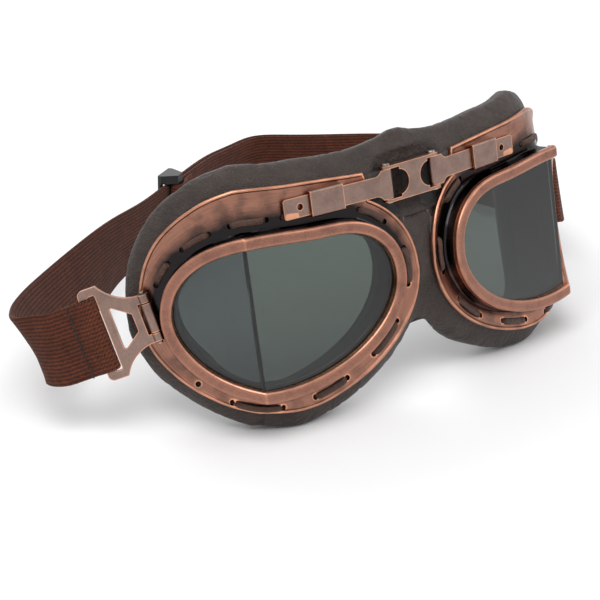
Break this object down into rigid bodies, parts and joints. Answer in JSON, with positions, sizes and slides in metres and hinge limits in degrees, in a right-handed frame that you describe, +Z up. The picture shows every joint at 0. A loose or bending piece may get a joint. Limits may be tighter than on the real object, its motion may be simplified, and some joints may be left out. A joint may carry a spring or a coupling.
{
  "type": "flying goggles",
  "caption": "Split-lens aviator flying goggles with copper cups, a hinged sliding bridge, a leather mask and an elastic head strap",
  "frame": {"origin": "on the table under the centre of the bridge, level with the fold of the lenses", "axes": "+X to the wearer's left, +Y towards the back of the head, +Z up from the table"},
  "size_m": [0.2604, 0.1964, 0.087],
  "materials": {
    "antique_copper": "antique copper plated, brushed, bright worn edges",
    "bridge_copper": "antique copper plated, fine brushed",
    "hinge_steel": "dark antique copper plated",
    "lens_glass": "smoke grey polished",
    "seal_rubber": "matt black",
    "pad_leather": "dark brown grained, soft sheen",
    "cushion_fabric": "short dark pile",
    "strap_webbing": "brown elastic twill webbing",
    "adjuster_plastic": "black, slight sheen"
  },
  "bodies": {
    "bridge": {"bridge_link": "bridge_copper", "right_bridge_pin": "bridge_copper", "left_bridge_pin": "bridge_copper", "strap_band": "strap_webbing", "strap_return_layer": "strap_webbing"},
    "right_tongue": {"right_bridge_tongue": "bridge_copper"},
    "right_eye": {"right_lens_rim": "antique_copper", "right_front_lens": "lens_glass", "right_side_lens": "lens_glass", "right_lens_seal": "seal_rubber", "right_cup": "antique_copper", "right_leather_pad": "pad_leather", "right_face_cushion": "cushion_fabric", "right_bridge_keeper": "antique_copper", "right_strap_tab": "antique_copper", "right_strap_pin": "hinge_steel"},
    "right_plate": {"right_strap_plate": "antique_copper", "right_strap_loop": "strap_webbing"},
    "left_tongue": {"left_bridge_tongue": "bridge_copper"},
    "left_eye": {"left_lens_rim": "antique_copper", "left_front_lens": "lens_glass", "left_side_lens": "lens_glass", "left_lens_seal": "seal_rubber", "left_cup": "antique_copper", "left_leather_pad": "pad_leather", "left_face_cushion": "cushion_fabric", "left_bridge_keeper": "antique_copper", "left_strap_tab": "antique_copper", "left_strap_pin": "hinge_steel"},
    "left_plate": {"left_strap_plate": "antique_copper", "left_strap_loop": "strap_webbing"},
    "adjuster": {"tri_glide": "adjuster_plastic", "adjuster_loop": "strap_webbing"}
  },
  "joints": [
    {"name": "right_bridge_hinge", "type": "hinge", "parent": "bridge", "child": "right_tongue", "pos_m": [-0.0103, 0.00537, 0.07426], "axis": [0, 0.2011, 0.9796], "range_deg": [-4, 10], "deforming": ["strap_band", "strap_return_layer"]},
    {"name": "right_tongue_slide", "type": "slide", "parent": "right_tongue", "child": "right_eye", "axis": [-0.9917, 0.1262, -0.0259], "range_m": [0, 0.003], "deforming": ["strap_band", "strap_return_layer"]},
    {"name": "right_plate_hinge", "type": "hinge", "parent": "right_eye", "child": "right_plate", "pos_m": [-0.09151, 0.02807, 0.04102], "axis": [-0.1446, 0.3647, 0.9198], "range_deg": [-25, 60], "deforming": ["strap_band", "strap_return_layer"]},
    {"name": "left_bridge_hinge", "type": "hinge", "parent": "bridge", "child": "left_tongue", "pos_m": [0.0103, 0.00537, 0.07426], "axis": [0, 0.2011, 0.9796], "range_deg": [-10, 4], "deforming": ["strap_band", "strap_return_layer"]},
    {"name": "left_tongue_slide", "type": "slide", "parent": "left_tongue", "child": "left_eye", "axis": [0.9917, 0.1262, -0.0259], "range_m": [0, 0.003], "deforming": ["strap_band", "strap_return_layer"]},
    {"name": "left_plate_hinge", "type": "hinge", "parent": "left_eye", "child": "left_plate", "pos_m": [0.09151, 0.02807, 0.04102], "axis": [0.1446, 0.3647, 0.9198], "range_deg": [-60, 25], "deforming": ["strap_band", "strap_return_layer"]},
    {"name": "adjuster_slide", "type": "slide", "parent": "bridge", "child": "adjuster", "axis": [0.8441, 0.5331, -0.0582], "range_m": [-0.008, 0.008], "deforming": ["strap_return_layer"]}
  ]
}
